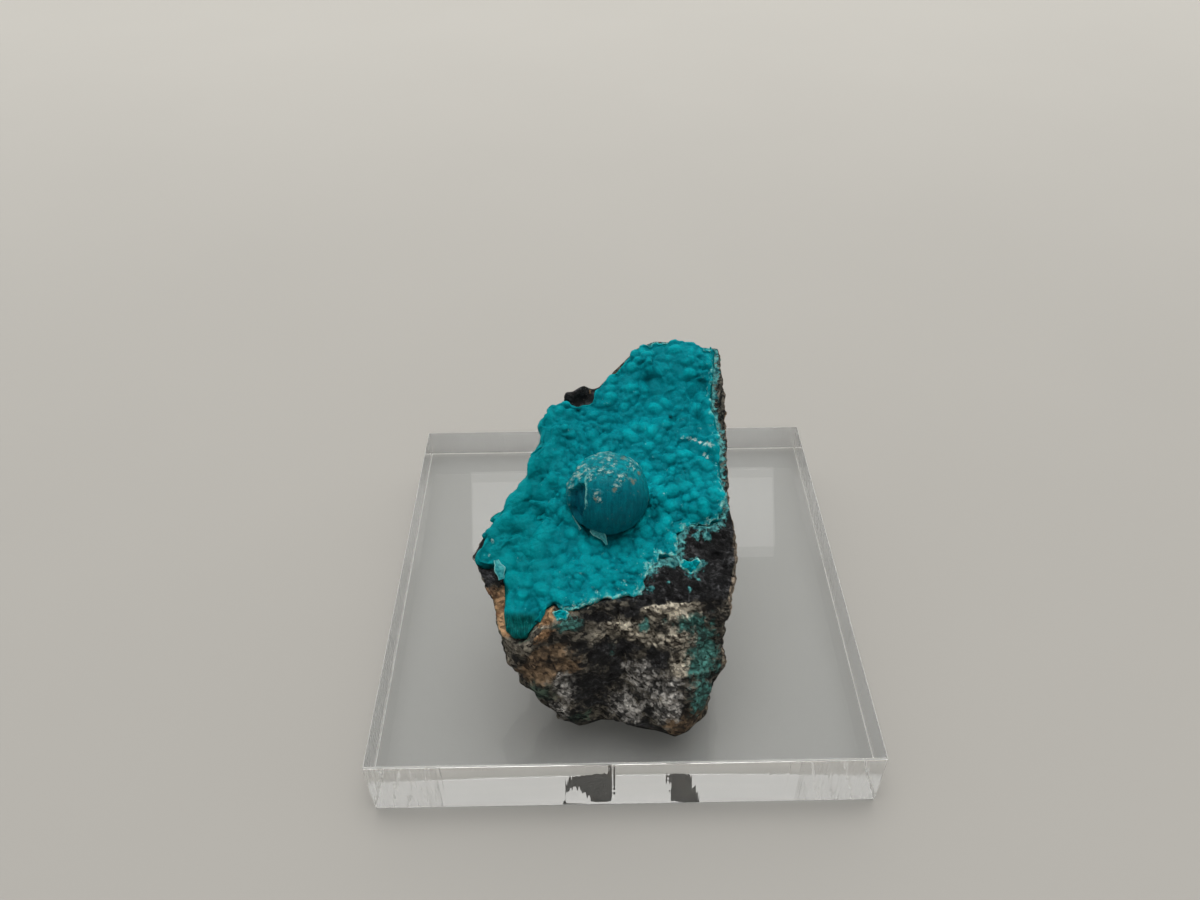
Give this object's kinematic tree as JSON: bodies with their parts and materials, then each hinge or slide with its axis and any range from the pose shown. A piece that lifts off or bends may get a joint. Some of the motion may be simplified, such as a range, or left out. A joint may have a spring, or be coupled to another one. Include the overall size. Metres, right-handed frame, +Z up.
{
  "type": "chrysocolla specimen on a clear slab",
  "caption": "Botryoidal blue-green chrysocolla crust on a broken piece of dark matrix, standing on a square clear acrylic slab.",
  "frame": {"origin": "centre of the slab's underside, on the surface that it stands on", "axes": "+Z up, +X to the specimen's right and +Y to its back, so that the crusted face slopes down towards -Y"},
  "size_m": [0.05, 0.05, 0.0342],
  "materials": {
    "acrylic": "clear polished acrylic with sawn edges",
    "matrix": "rough broken stone, black, grey, tan and brown with blue-green stains",
    "chrysocolla": "waxy blue-green botryoidal mineral"
  },
  "bodies": {
    "root": {"acrylic_base": "acrylic", "matrix_rock": "matrix", "chrysocolla_crust": "chrysocolla"}
  },
  "joints": []
}
